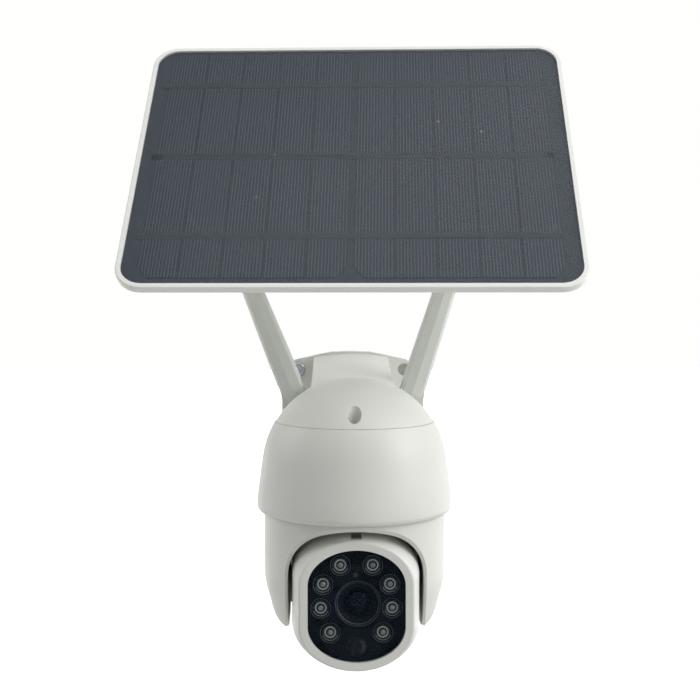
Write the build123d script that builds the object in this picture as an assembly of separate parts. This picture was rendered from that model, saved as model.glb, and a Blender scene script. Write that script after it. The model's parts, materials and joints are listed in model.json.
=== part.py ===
from build123d import *
import os
from math import atan2, cos, degrees, hypot, pi, radians, sin, sqrt

# Solar-powered pan and tilt camera on a wall bracket.
# Origin: centre of the wall plate's back, on the wall. +Z up, the camera looks along -Y.
# Millimetres and degrees.

# ---------------------------------------------------------------- driving dimensions
WALL_TO_AXIS = 96.0           # wall to the pan axis
PLATE_W, PLATE_H = 78.0, 72.0
PLATE_CORNER = 14.0
PLATE_SIDE_TOP = 30.2         # the top edge falls from its crest to this height at the sides
PLATE_CREST_X, PLATE_TOP_CORNER = 11.5, 8.0
PLATE_T = 5.0
SUPPORT_T = 3.0               # steel support between wall plate and wall
HOLE_X, HOLE_Z = 32.6, 25.0   # wall holes from the plate's centre
HOLE_R = 3.7
BRACKET_SCREW_R = 2.4

DOME_R = 49.1                 # ball that the cap and the housing's shoulder follow
DOME_Z = -21.8
CAP_INSET = 0.5
SEAM_Z = 3.0
LIP_R, LIP_Z = 51.7, -40.6    # widest place of the housing
LIP_BOTTOM_Z = -44.0
WALL = 2.4                    # moulded wall thickness
COVER_SCREWS = [(-1.0, -36.4), (29.4, 17.0), (-29.4, 17.0)]
COVER_SCREW_SEAT_Z = 4.2
RECESS_R = 3.65
SEAL_R = (39.6, 40.9)
CHASSIS_Z = (-37.6, -34.6)
CHASSIS_PILLARS = [(44.4 * cos(radians(a)), 44.4 * sin(radians(a))) for a in (18, 162, 198, 342)]
PORT_X, PORT_Z = -5.6, -24.0
PORT_FACE_Y = 52.4            # rear pad that holds the inlet and the button
BUTTON_X = 9.0

YOKE_R = 48.0
YOKE_TOP_Z = -43.2
YOKE_TIP_Z = -103.6
ARM_INNER = 34.5              # half the width of the slot between the arms
ARCH_TOP_Z = -47.2
ARCH_CROWN_X = 17.0
ARCH_CROWN_R = 60.7
ARCH_CORNER_R = 24.0
REAR_WALL_Z = -88.0           # the slot is closed at the rear down to here
TILT_Z = -84.5
BEVEL = 2.2                   # slanted band round the slot
STUB_R = 9.5                  # stub shafts between the arms and the head
HUB_R = 9.0                   # hollow shaft that the yoke turns on
ARM_COVER_T = 1.6
ARM_COVER_TOP_Z = -73.2

HEAD_W = 33.2                 # half width
HEAD_R = 36.4                 # half height at the tilt axis
NOSE = 46.0                   # tilt axis to the front rim
WINDOW = (24.3, 17.9, 20.5)   # half width, end height, straight side of the window outline
RIM = 4.2
WINDOW_RECESS = 0.8
LED_PLACES = [(8.05, 20.2), (16.65, 10.7), (17.8, -1.2), (13.1, -13.5)]
LED_R, LED_RING_R = 3.0, 5.1
LENS_X, LENS_Z, LENS_R = 0.7, 0.9, 11.85
PIR_Z, PIR_R = -20.7, 5.2
LIGHT_SENSOR_X, LIGHT_SENSOR_Z, LIGHT_SENSOR_R = -0.6, 15.5, 1.25
MASK_Y = -NOSE + WINDOW_RECESS + 1.2   # layers behind the window, from its back inwards
LEDGE_Y = -NOSE + 3.2
LED_BOARD_Y = -NOSE + 5.0
HEAD_SCREWS = [(-14, 27), (14, 27), (-14, -27), (14, -27)]

ANTENNA_X, ANTENNA_BACK = 33.1, 38.0   # hinge beside and behind the pan axis
ANTENNA_Z = 14.0
ANTENNA_LEAN = {"left": -21.7, "right": 17.8}
ANTENNA_TIP_W = {"left": 8.6, "right": 10.4}
ANTENNA_FOOT_W = 14.2
ANTENNA_LENGTH = 132.0
KNUCKLE_R = 7.2

PANEL_W, PANEL_H, PANEL_T = 235.0, 180.0, 7.0
PANEL_CORNER = 14.5
PANEL_RIM = 2.8
PANEL_SIDE = 3.9              # straight side of the frame above its sloped back edge
PANEL_YAW, PANEL_TILT = -3.26, 52.13
PANEL_PIVOT = (0.7, -71.4, 130.7)
PIVOT_DEPTH = 22.0            # panel's face to the tilt pivot
TONGUE_Z = 104.0              # underside of the support's tongue
TONGUE_W = 26.0
EAR_X = (10.0, 13.0)          # the swivel's ears
SWIVEL_Z = (TONGUE_Z + SUPPORT_T + 0.2 - PANEL_PIVOT[2], TONGUE_Z + SUPPORT_T + 3.2 - PANEL_PIVOT[2])
LUG_W = 9.6
BOLT_R = 3.0                  # swivel and tilt bolts
KNOB_R = 9.5

PANEL_LEDGE = 6.0
FILM_Z = -0.35                # top of each layer below the frame's face
BUS_Z = -0.85
CELL_Z = -0.95
BOARD_Z = -1.25
BOARD_T = 1.6
BACK_COVER_T = 1.6
BACK_SCREWS = [(x, y) for x in (-98, 0, 98) for y in (-76, 76)]
CELL_GROUP_X = (-106.9, 0.9)  # left edges of the two cell groups
CELL_GROUP_W = 105.6
CELL_BAND_Y = (-83.0, 84.9)
CELL_CUT = (5.6, 8.5)        # cut corners of a group
STRIPS = 5
STRIP_GAP = 0.7
BUS_Y = (57.6, 0.9, -55.7)
BUS_W = 4.2

CELL_R, CELL_L = 9.2, 65.0
PAN_TEETH, PAN_PINION_TEETH = 44, 12
TILT_TEETH, TILT_PINION_TEETH = 24, 10
PAN_MOTOR_Y = (PAN_TEETH + PAN_PINION_TEETH) / 2
PINION_Z = (-42.6, -38.6)
TILT_MOTOR_AT = (TILT_TEETH + TILT_PINION_TEETH) / 2 * sqrt(0.5)
TILT_GEAR_X = (-25.8, -22.8)
FIT = 0.05                    # radial clearance of a running fit


# ---------------------------------------------------------------- small helpers
def cyl(r, z0, z1, x=0.0, y=0.0):
    return Pos(x, y, (z0 + z1) / 2) * Cylinder(r, z1 - z0)


def tube(r_out, r_in, z0, z1, x=0.0, y=0.0):
    return cyl(r_out, z0, z1, x, y) - cyl(r_in, z0 - 1, z1 + 1, x, y)


def cyl_y(r, y0, y1, x=0.0, z=0.0):
    return Pos(x, (y0 + y1) / 2, z) * Rot(90, 0, 0) * Cylinder(r, y1 - y0)


def cyl_x(r, x0, x1, y=0.0, z=0.0):
    return Pos((x0 + x1) / 2, y, z) * Rot(0, 90, 0) * Cylinder(r, x1 - x0)


def block(x0, x1, y0, y1, z0, z1):
    return Pos((x0 + x1) / 2, (y0 + y1) / 2, (z0 + z1) / 2) * Box(x1 - x0, y1 - y0, z1 - z0)


def prism(sketch, z0, z1):
    return Pos(0, 0, z0) * extrude(sketch, z1 - z0)


def screw(head_r, head_h, shank_r, length):
    """Pan head screw along +Z, underside of the head at z = 0."""
    head = Cylinder(head_r, head_h, align=(Align.CENTER, Align.CENTER, Align.MIN))
    head = fillet(head.edges().sort_by(Axis.Z)[-1], head_h * 0.6)
    shank = Cylinder(shank_r, length, align=(Align.CENTER, Align.CENTER, Align.MAX))
    slot = Box(head_r * 1.15, head_r * 0.28, head_h) + Box(head_r * 0.28, head_r * 1.15, head_h)
    return head + shank - Pos(0, 0, head_h) * slot


def gear(teeth, z0, z1, bore, turn=0.0):
    """Spur gear of module 1 with straight flanks and running backlash."""
    pitch_r = teeth / 2
    step = 360 / teeth
    points = []
    for i in range(teeth):
        middle = i * step + turn
        for r, share in ((pitch_r - 1.2, -0.33), (pitch_r + 0.8, -0.12),
                         (pitch_r + 0.8, 0.12), (pitch_r - 1.2, 0.33)):
            a = radians(middle + share * step)
            points.append((r * cos(a), r * sin(a)))
    outline = make_face(Polyline(*points, close=True))
    return prism(outline - Circle(bore), z0, z1)


def capsule(half_w, end_h, straight):
    """Outline with straight sides and elliptical ends, centred on the origin."""
    low, high = -straight / 2, straight / 2
    sides = Line((half_w, low), (half_w, high)) + Line((-half_w, high), (-half_w, low))
    ends = EllipticalCenterArc((0, high), half_w, end_h, 0, arc_size=180)
    ends += EllipticalCenterArc((0, low), half_w, end_h, 180, arc_size=180)
    return make_face(sides + ends)


def grown(outline, by):
    return (outline[0] + by, outline[1] + by, outline[2])


def at_axis(shape):
    """From the dome's own axis to its place in front of the wall."""
    return Pos(0, -WALL_TO_AXIS, 0) * shape


def facing_front(sketch, y, depth):
    """A sketch drawn in x and z, at y, made solid towards the back."""
    plane = Plane(origin=(0, y, 0), x_dir=(1, 0, 0), z_dir=(0, -1, 0))
    return extrude(plane * sketch, -depth)


def in_head(shape):
    return at_axis(Pos(0, 0, TILT_Z) * shape)


# ---------------------------------------------------------------- cap, arm and wall plate
def arm_section(y, half_w, top, side_top, bottom):
    """Cross-section of the bracket's arm with a crowned top."""
    plane = Plane(origin=(0, y, 0), x_dir=(1, 0, 0), z_dir=(0, -1, 0))
    outline = Line((half_w, side_top), (half_w, bottom)) + Line((half_w, bottom), (-half_w, bottom))
    outline += Line((-half_w, bottom), (-half_w, side_top))
    outline += ThreePointArc((-half_w, side_top), (0, top), (half_w, side_top))
    return plane * make_face(outline)


def arm_solid(shrink, start, end):
    """Arm from inside the cap to the wall plate; a positive shrink gives its hollow."""
    sections = [(start, 23.8, 24.8, 18.4, 6.0), (50.0, 23.2, 25.2, 23.4, 5.0),
                (end, 22.7, 36.4, 33.9, -26.0)]
    faces = [arm_section(y, half_w - shrink, top - shrink, side - shrink, bottom + shrink)
             for y, half_w, top, side, bottom in sections]
    return loft(Sketch() + faces)


def wall_holes(y0, y1, radius=HOLE_R):
    holes = [cyl_y(radius, y0, y1, x, z) for x in (-HOLE_X, HOLE_X) for z in (-HOLE_Z, HOLE_Z)]
    return holes[0] + holes[1] + holes[2] + holes[3]


def wall_outline(inset):
    """Outline of the wall plate: its top edge falls to both sides of a level crest."""
    half_w, half_h = PLATE_W / 2 - inset, PLATE_H / 2 - inset
    side_top = PLATE_SIDE_TOP - inset
    face = make_face(Polyline((-half_w, -half_h), (half_w, -half_h), (half_w, side_top),
                              (PLATE_CREST_X, half_h), (-PLATE_CREST_X, half_h),
                              (-half_w, side_top), close=True))
    face = fillet(face.vertices().filter_by(lambda v: v.Y < 0), PLATE_CORNER - inset)
    upper = face.vertices().filter_by(lambda v: v.Y > 20 and abs(v.X) > half_w - 0.1)
    return fillet(upper, PLATE_TOP_CORNER - inset)


def dome_ball(inset=0.0):
    return Pos(0, 0, DOME_Z) * Sphere(DOME_R - CAP_INSET - inset)


def top_cover():
    """Cap of the dome, open at the back towards the hollow arm."""
    below = block(-60, 60, -60, 60, -80, SEAM_Z + 0.1)
    cover = dome_ball() - dome_ball(WALL) - below
    cover -= arm_solid(WALL, 20.0, WALL_TO_AXIS)
    for x, y in COVER_SCREWS:
        cover += cyl(5.8, SEAM_Z + 0.1, 30, x, y) & dome_ball()
        cover -= cyl(RECESS_R, COVER_SCREW_SEAT_Z, 40, x, y)
        cover -= cyl(1.6, -5, 10, x, y)
    return at_axis(cover)


def wall_arm():
    """Hollow arm bonded to the cap, with the wall plate."""
    back = WALL_TO_AXIS - SUPPORT_T
    arm = arm_solid(0, 14.0, back - 1) + Pos(0, back, 0) * Rot(90, 0, 0) * extrude(
        wall_outline(0), PLATE_T)
    arm -= dome_ball()
    arm -= arm_solid(WALL, 20.0, back + 1)
    arm -= wall_holes(back - PLATE_T - 3, back + 1)
    return at_axis(arm)


def panel_support():
    """Pressed steel plate: back plate, two legs, a cross strip and a tongue with two ribs."""
    low = wall_outline(1.2)
    legs = Sketch()
    for foot, head in (((-38.5, 18.0), (-61.6, 80.0)), ((39.4, 18.0), (59.6, 80.0))):
        length = hypot(head[0] - foot[0], head[1] - foot[1])
        lean = degrees(atan2(head[1] - foot[1], head[0] - foot[0]))
        middle = ((foot[0] + head[0]) / 2, (foot[1] + head[1]) / 2)
        legs += Pos(middle[0], middle[1]) * Rot(0, 0, lean) * SlotOverall(length + 9, 8.6)
    bar = Pos(-1.0, (78.5 + TONGUE_Z + SUPPORT_T) / 2) * RectangleRounded(
        132, TONGUE_Z + SUPPORT_T - 78.5, 6)
    flat = low + legs + bar
    plate = Rot(90, 0, 0) * extrude(flat, SUPPORT_T)
    reach = -PANEL_PIVOT[1]
    tongue = block(-TONGUE_W / 2, TONGUE_W / 2, -reach, -0.01, TONGUE_Z, TONGUE_Z + SUPPORT_T)
    tongue += cyl(TONGUE_W / 2, TONGUE_Z, TONGUE_Z + SUPPORT_T, 0, -reach)
    side = make_face(Polyline((-1.0, TONGUE_Z + 1), (-reach + 22, TONGUE_Z + 1),
                              (-reach + 22, TONGUE_Z - 2), (-1.0, 84), close=True))
    rib = extrude(Plane.YZ * side, 1.25, both=True)
    support = plate + Pos(PANEL_PIVOT[0], 0, 0) * (tongue + Pos(-9, 0, 0) * rib
                                                   + Pos(9, 0, 0) * rib)
    for x in (-HOLE_X, HOLE_X):
        support -= cyl_y(HOLE_R, -SUPPORT_T - 1, 1, x, -HOLE_Z)
    support -= cyl_y(BRACKET_SCREW_R + FIT, -SUPPORT_T - 1, 1, -HOLE_X, HOLE_Z)
    support -= cyl(BOLT_R + FIT, TONGUE_Z - 1, TONGUE_Z + SUPPORT_T + 1, *PANEL_PIVOT[:2])
    return support


def bracket_screw():
    place = Pos(-HOLE_X, -SUPPORT_T - PLATE_T, HOLE_Z) * Rot(90, 0, 0)
    return place * screw(4.8, 3.2, BRACKET_SCREW_R, SUPPORT_T + PLATE_T - 0.2)


def cover_screws():
    one = screw(2.9, 1.2, 1.5, 12.6)
    return [at_axis(Pos(x, y, COVER_SCREW_SEAT_Z) * one) for x, y in COVER_SCREWS]


# ---------------------------------------------------------------- housing
def housing_outline(inset):
    """Half profile of the housing's outer or inner surface, from the seam down to the lip."""
    r = DOME_R - inset
    top_r = sqrt(r * r - (SEAM_Z - DOME_Z) ** 2)
    shoulder_z = -14.0
    shoulder_r = sqrt(r * r - (shoulder_z - DOME_Z) ** 2)
    middle_z = (SEAM_Z + shoulder_z) / 2
    middle_r = sqrt(r * r - (middle_z - DOME_Z) ** 2)
    side = LIP_R - inset
    curve = ThreePointArc((top_r, SEAM_Z), (middle_r, middle_z), (shoulder_r, shoulder_z))
    curve += Spline((shoulder_r, shoulder_z), (side - 0.75, -31.0), (side, LIP_Z),
                    tangents=((0.16, -1), (0, -1)))
    return curve, top_r


def revolved(lines):
    return revolve(Plane.XZ * make_face(lines), Axis.Z)


def housing_shell():
    curve, top_r = housing_outline(0)
    bottom_r = LIP_R - 2.4
    outer = curve + ThreePointArc((LIP_R, LIP_Z), (LIP_R - 0.75, LIP_Z - 2.35),
                                  (bottom_r, LIP_BOTTOM_Z))
    outer += Line((bottom_r, LIP_BOTTOM_Z), (0, LIP_BOTTOM_Z))
    outer += Line((0, LIP_BOTTOM_Z), (0, SEAM_Z)) + Line((0, SEAM_Z), (top_r, SEAM_Z))
    curve, top_r = housing_outline(WALL)
    low = LIP_BOTTOM_Z - 1
    inner = curve + Line((LIP_R - WALL, LIP_Z), (YOKE_R + 0.7, low))
    inner += Line((YOKE_R + 0.7, low), (0, low))
    inner += Line((0, low), (0, SEAM_Z + 1)) + Line((0, SEAM_Z + 1), (top_r, SEAM_Z + 1))
    inner += Line((top_r, SEAM_Z + 1), (top_r, SEAM_Z))
    return revolved(outer), revolved(inner)


def main_housing():
    outer, inner = housing_shell()
    shell = outer - inner
    for x, y in COVER_SCREWS:
        reach = hypot(x, y)
        turn = degrees(atan2(y, x))
        rib = Rot(0, 0, turn) * block(reach, reach + 14, -1.2, 1.2, -14, SEAM_Z)
        shell += (cyl(4.4, -14, SEAM_Z, x, y) + rib) & outer
        shell -= cyl(1.5, -9, SEAM_Z + 1, x, y)
    shell -= tube(SEAL_R[1] + 0.1, SEAL_R[0] - 0.1, SEAM_Z - 1.2, SEAM_Z + 1)
    for x, y in CHASSIS_PILLARS:
        shell += cyl(3.4, CHASSIS_Z[1], -16, x, y) & outer
        shell -= cyl(1.3, CHASSIS_Z[1] - 1, -20, x, y)
    for side in (-1, 1):
        foot = cyl(KNUCKLE_R, -17, 3.4, side * ANTENNA_X, ANTENNA_BACK)
        cone = Pos(side * ANTENNA_X, ANTENNA_BACK, -22) * Cone(2.5, KNUCKLE_R, 10)
        shell += (foot + cone) - inner
    pad = block(-18, 18, 40, PORT_FACE_Y, PORT_Z - 10, PORT_Z + 10)
    pad = fillet(pad.edges().filter_by(Axis.Y), 4)
    shell += pad - inner
    shell -= block(-14.6, 3.4, PORT_FACE_Y - 2.2, PORT_FACE_Y + 1, PORT_Z - 6.6, PORT_Z + 6.6)
    shell -= port_slot(9.1, 3.4, 40, PORT_FACE_Y + 1)
    shell -= cyl_y(2.6 + FIT, 40, PORT_FACE_Y + 1, BUTTON_X, PORT_Z)
    shell -= cyl_y(4.0, 40, PORT_FACE_Y - 2.4, BUTTON_X, PORT_Z)
    return at_axis(shell)


def housing_seal():
    return at_axis(tube(SEAL_R[1], SEAL_R[0], SEAM_Z - 1.1, SEAM_Z + 0.05))


def chassis_plate():
    plate = cyl(47.6, *CHASSIS_Z) + cyl(15.8, CHASSIS_Z[0], -31)
    plate -= cyl(14.0, -50, 0)
    plate -= cyl(8.0, -50, 0, 0, PAN_MOTOR_Y)
    for x, y in CHASSIS_PILLARS:
        plate -= cyl(1.7, -50, 0, x, y)
    return at_axis(plate)


def chassis_screws():
    one = Rot(180, 0, 0) * screw(2.6, 1.5, 1.25, 13)
    return [at_axis(Pos(x, y, CHASSIS_Z[0]) * one) for x, y in CHASSIS_PILLARS]


def pan_bearing():
    return at_axis(tube(13.98, HUB_R + FIT, CHASSIS_Z[0], -31))


def pan_motor():
    body = cyl(12, CHASSIS_Z[1] + 0.1, -17, 0, PAN_MOTOR_Y)
    body = fillet(body.edges().sort_by(Axis.Z)[-1], 1.2)
    body += cyl(4.5, -36.4, CHASSIS_Z[1] + 0.1, 0, PAN_MOTOR_Y)
    body += cyl(1.5, -42.6, -36.4, 0, PAN_MOTOR_Y)
    return at_axis(body)


def pan_pinion():
    turn = 180 / PAN_PINION_TEETH
    wheel = gear(PAN_PINION_TEETH, PINION_Z[0], PINION_Z[1], 1.5 + FIT, turn)
    return at_axis(Pos(0, PAN_MOTOR_Y, 0) * wheel)


def battery_cells():
    """Two cells beside the hub and one across above it."""
    along_y = [cyl_y(CELL_R, -CELL_L / 2, CELL_L / 2, x, -24.3) for x in (-24, 24)]
    across = cyl_x(CELL_R, -CELL_L / 2, CELL_L / 2, 0, -3.6)
    return [at_axis(cell) for cell in along_y + [across]]


def battery_tray():
    tray = block(-31, 31, -16, 12, -14.9, -13.3)
    tray += block(-31, 31, -14.5, -12, -13.3, -4) + block(-31, 31, 9.6, 12, -13.3, -4)
    tray -= cyl_x(CELL_R + 0.2, -40, 40, 0, -3.6)
    for x in (-24, 24):
        tray -= cyl_y(CELL_R + 0.2, -40, 40, x, -24.3)
    return at_axis(tray)


def main_board():
    board = cyl(28.0, 8.0, 9.6)
    board += block(-12, 6, -14, 0, 9.6, 11.2) + block(10, 20, -8, 6, 9.6, 10.8)
    board += block(-18, -6, 8, 17, 9.6, 12.0) + block(2, 14, 9, 15, 9.6, 13.0)
    return at_axis(board)


def port_slot(width, height, y0, y1):
    return facing_front(Pos(PORT_X, PORT_Z) * SlotOverall(width, height), y0, y1 - y0)


def charge_port():
    """Reversible flat inlet with its contact tongue."""
    shell = port_slot(8.9, 3.2, PORT_FACE_Y - 9.6, PORT_FACE_Y - 2.4)
    shell -= port_slot(8.3, 2.6, PORT_FACE_Y - 8.6, PORT_FACE_Y)
    tongue = block(PORT_X - 3.3, PORT_X + 3.3, PORT_FACE_Y - 9.0, PORT_FACE_Y - 3.4,
                   PORT_Z - 0.35, PORT_Z + 0.35)
    return at_axis(shell + tongue)


def port_cover():
    """Soft flap over the inlet, hinged along its top edge."""
    y = PORT_FACE_Y - 2.0
    flap = block(-14.3, 3.1, y, y + 1.8, PORT_Z - 6.3, PORT_Z + 4.6)
    flap += cyl_x(1.0, -14.3, 3.1, y + 1.0, PORT_Z + 5.3)
    flap += block(-14.3, 3.1, y + 0.1, y + 1.8, PORT_Z + 4.0, PORT_Z + 5.3)
    flap += block(-8.4, -2.8, y + 1.8, y + 3.0, PORT_Z - 6.3, PORT_Z - 4.8)
    return at_axis(flap)


def reset_button():
    y = PORT_FACE_Y
    return at_axis(cyl_y(2.6, 48.0, y + 0.9, BUTTON_X, PORT_Z)
                   + cyl_y(3.7, 48.0, y - 3.6, BUTTON_X, PORT_Z))


# ---------------------------------------------------------------- pan body
def arch_outline():
    """Front view of the slot between the yoke's arms."""
    drop = ARCH_CROWN_R - sqrt(ARCH_CROWN_R ** 2 - ARCH_CROWN_X ** 2)
    slope = atan2(ARCH_CROWN_X, sqrt(ARCH_CROWN_R ** 2 - ARCH_CROWN_X ** 2))
    centre_x = ARM_INNER - ARCH_CORNER_R
    start_x = centre_x + ARCH_CORNER_R * sin(slope)
    centre_z = ARCH_TOP_Z - drop - ARCH_CORNER_R * cos(slope)
    low = YOKE_TIP_Z - 10
    half = (pi / 2 + slope) / 2
    bend = (centre_x + ARCH_CORNER_R * sin(half), centre_z + ARCH_CORNER_R * cos(half))
    crown = (start_x, ARCH_TOP_Z - drop)
    lines = Line((ARM_INNER, low), (ARM_INNER, centre_z))
    lines += ThreePointArc((ARM_INNER, centre_z), bend, crown)
    lines += ThreePointArc(crown, (0, ARCH_TOP_Z), (-crown[0], crown[1]))
    lines += ThreePointArc((-crown[0], crown[1]), (-bend[0], bend[1]), (-ARM_INNER, centre_z))
    lines += Line((-ARM_INNER, centre_z), (-ARM_INNER, low)) + Line((-ARM_INNER, low), (ARM_INNER, low))
    return make_face(lines)


def yoke_profile(inset):
    r = YOKE_R - inset
    tip = YOKE_TIP_Z + inset
    side_z = -76.0
    curve = Line((r, YOKE_TOP_Z - inset - 0.6), (r, side_z))
    curve += Spline((r, side_z), (r - 3.1, -91.5), (r - 9.0, tip), tangents=((0, -1), (-1, -0.7)))
    curve += Line((r - 9.0, tip), (0, tip)) + Line((0, tip), (0, YOKE_TOP_Z - inset))
    curve += Line((0, YOKE_TOP_Z - inset), (r - 0.6, YOKE_TOP_Z - inset))
    curve += Line((r - 0.6, YOKE_TOP_Z - inset), (r, YOKE_TOP_Z - inset - 0.6))
    return revolved(curve)


def arm_pockets():
    """The hollows of the two arms, behind their covers."""
    inner = yoke_profile(WALL)
    x = ARM_INNER + ARM_COVER_T
    pockets = []
    for side in (-1, 1):
        pockets.append(inner & block(*sorted((side * x, side * 60)), -40, 40, -120, -40))
    return pockets


def arm_block(side):
    """All that lies outside the slot on one side."""
    return block(*sorted((side * ARM_INNER, side * 60)), -60, 60, -120, -40)


def pan_yoke():
    outer = yoke_profile(0)
    slot = facing_front(arch_outline(), -70, 140)
    yoke = outer - slot
    rims = yoke.edges().filter_by(lambda e: abs((e @ 0.5).X) < ARM_INNER + 0.1
                                  and abs((e @ 0.5).Y) > 25)
    yoke = chamfer(rims, BEVEL)
    for pocket in arm_pockets():
        yoke -= pocket
    rear = (outer - yoke_profile(WALL)) & block(-60, 60, 10, 60, REAR_WALL_Z, ARCH_TOP_Z + 3)
    yoke += rear - arm_block(-1) - arm_block(1)
    yoke -= cyl(HUB_R + 0.02, -60, -40)
    yoke -= arm_cover_plates(0.0)
    return at_axis(yoke)


def arm_cover_plates(gap):
    """Covers set into the arms' inner faces."""
    inner = yoke_profile(WALL * 0.5 + gap)
    top = ARM_COVER_TOP_Z - gap
    left = inner & block(-ARM_INNER - ARM_COVER_T, -ARM_INNER, -34, 34, -115, top)
    right = inner & block(ARM_INNER, ARM_INNER + ARM_COVER_T, -34, 34, -115, top)
    return left + right


def arm_covers():
    plates = arm_cover_plates(0.1) - cyl_x(STUB_R - 2.0, -60, 60, 0, TILT_Z)
    return [at_axis(plate) for plate in plates.solids()]


def tilt_stubs():
    """Hollow stub shafts that stand out of the arm covers and carry the head."""
    right = cyl_x(STUB_R, 26.0, ARM_INNER)
    right += cyl_x(STUB_R - 2.1, ARM_INNER, ARM_INNER + 4.0)
    right -= cyl_x(5.0, 20, 60)
    left = cyl_x(STUB_R, -ARM_INNER, -26.5) + cyl_x(6.9, -26.5, -22.5)
    left += cyl_x(STUB_R - 2.1, -ARM_INNER - 4.0, -ARM_INNER)
    left -= cyl_x(5.0, -60, -20)
    return [in_head(left), in_head(right)]


def pan_hub():
    return at_axis(tube(HUB_R, 6.5, YOKE_TOP_Z - 4.0, -24.0))


def hub_nut():
    nut = prism(RegularPolygon(12.4, 6), -30.6, -27.0) - cyl(HUB_R, -40, -20)
    return at_axis(nut)


def pan_gear():
    return at_axis(gear(PAN_TEETH, YOKE_TOP_Z, PINION_Z[1] - 0.4, HUB_R + 0.02))


# ---------------------------------------------------------------- head
def head_outline(y, half_w, half_h, end_h):
    plane = Plane(origin=(0, y, 0), x_dir=(1, 0, 0), z_dir=(0, -1, 0))
    return plane * capsule(half_w, end_h, 2 * (half_h - end_h))


def head_solid(inset=0.0, nose=NOSE):
    """Front half lofted towards the window's rim, rear half turned about the tilt axis."""
    rim_w, rim_end = WINDOW[0] + RIM, WINDOW[1] + RIM
    rim_h = rim_end + WINDOW[2] / 2
    sections = [(-nose, rim_w, rim_h, rim_end), (-nose + 6, rim_w + 2.1, rim_h + 1.4, rim_end + 0.4),
                (-22.0, HEAD_W - 0.5, HEAD_R - 1.0, 22.2), (0.0, HEAD_W, HEAD_R, 22.4)]
    faces = [head_outline(y, w - inset, h - inset, e - inset * 0.9) for y, w, h, e in sections]
    front = loft(Sketch() + faces)
    half = make_face(head_half_outline(HEAD_W - inset, HEAD_R - inset, 22.4 - inset * 0.9))
    back = revolve(Plane.XZ * half, -Axis.X, 180)
    return front, back


def head_half_outline(half_w, half_h, end_h):
    side = half_h - end_h
    lines = Line((-half_w, 0), (half_w, 0)) + Line((half_w, 0), (half_w, side))
    lines += EllipticalCenterArc((0, side), half_w, end_h, 0, arc_size=180)
    return lines + Line((-half_w, side), (-half_w, 0))


def head_front_shell():
    front, _ = head_solid()
    hollow, _ = head_solid(WALL, NOSE - 3.0)
    front_edge = front.faces().sort_by(Axis.Y)[0].edges()
    shell = fillet(front_edge, 1.2) - (hollow - block(-60, 60, -60, -(NOSE - 5.0), -60, 60))
    shell -= facing_front(capsule(*WINDOW), -NOSE - 1, LEDGE_Y + NOSE + 1)
    shell -= facing_front(capsule(*grown(WINDOW, -1.0)), -NOSE - 1, 12)
    shell -= cyl_x(STUB_R + FIT, -60, 60)
    shell -= block(-2.6, 2.6, -43.4, -31.0, HEAD_R - 3.4, HEAD_R + 2)
    return in_head(shell)


def head_rear_shell():
    _, back = head_solid()
    _, hollow = head_solid(WALL)
    shell = back - hollow
    shell -= cyl_x(STUB_R + FIT, -60, 60)
    for i in range(-2, 3):
        shell -= block(i * 4 - 0.8, i * 4 + 0.8, 20, 50, -9, 3)
    for x, z in HEAD_SCREWS:
        shell += cyl_y(3.0, 4, 28, x, z) & back
        shell -= cyl_y(2.6, 9, 60, x, z)
        shell -= cyl_y(1.3, -1, 60, x, z)
    return in_head(shell)


def head_screws():
    one = Rot(-90, 0, 0) * screw(2.3, 1.4, 1.25, 8.6)
    return [in_head(Pos(x, 9.0, z) * one) for x, z in HEAD_SCREWS]


def front_window():
    return in_head(facing_front(capsule(*grown(WINDOW, -0.1)), -NOSE + WINDOW_RECESS, 1.2))


def window_openings():
    spots = [Pos(x * side, z) * Circle(LED_RING_R) for side in (-1, 1) for x, z in LED_PLACES]
    openings = Sketch() + spots
    openings += Pos(LENS_X, LENS_Z) * Circle(LENS_R)
    openings += Pos(0, PIR_Z) * Circle(PIR_R)
    return openings + Pos(LIGHT_SENSOR_X, LIGHT_SENSOR_Z) * Circle(LIGHT_SENSOR_R)


def window_mask():
    """Black sheet behind the window with a short collar round each lamp."""
    mask = facing_front(capsule(*grown(WINDOW, -0.1)) - window_openings(), MASK_Y, 0.5)
    for side in (-1, 1):
        for x, z in LED_PLACES:
            ring = cyl_y(LED_RING_R + 0.35, MASK_Y + 0.5, LED_BOARD_Y, x * side, z)
            mask += ring - cyl_y(LED_RING_R - 1.0, MASK_Y - 2, LED_BOARD_Y + 1, x * side, z)
    return in_head(mask)


def window_gasket():
    ring = capsule(*grown(WINDOW, -0.1)) - capsule(*grown(WINDOW, -1.0))
    return in_head(facing_front(ring, MASK_Y + 0.5, LEDGE_Y - MASK_Y - 0.5))


def led_board():
    board = facing_front(capsule(*grown(WINDOW, 1.0)) - Pos(LENS_X, LENS_Z) * Circle(LENS_R + 0.2),
                         LED_BOARD_Y, 1.6)
    return in_head(board)


def led_lamps():
    lamps = []
    for side in (-1, 1):
        for x, z in LED_PLACES:
            base = cyl_y(LED_R, LED_BOARD_Y - 1.2, LED_BOARD_Y, x * side, z)
            ball = Pos(x * side, LED_BOARD_Y - 1.15, z) * Sphere(1.7)
            front = cyl_y(LED_R, LED_BOARD_Y - 4, LED_BOARD_Y - 0.5, x * side, z)
            lamps.append(in_head(base + (ball & front)))
    return lamps


def lens_barrel():
    y = MASK_Y + 0.7
    barrel = cyl_y(LENS_R - 0.1, y, -31) + cyl_y(9.0, -31, -21.2)
    barrel = barrel - cyl_y(LENS_R - 1.3, y - 1, y + 0.9)
    barrel -= Pos(0, y + 3.4, 0) * Rot(90, 0, 0) * Cone(6.2, LENS_R - 1.8, 5.2)
    barrel -= cyl_y(5.4, -60, -25)
    return in_head(Pos(LENS_X, 0, LENS_Z) * barrel)


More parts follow.
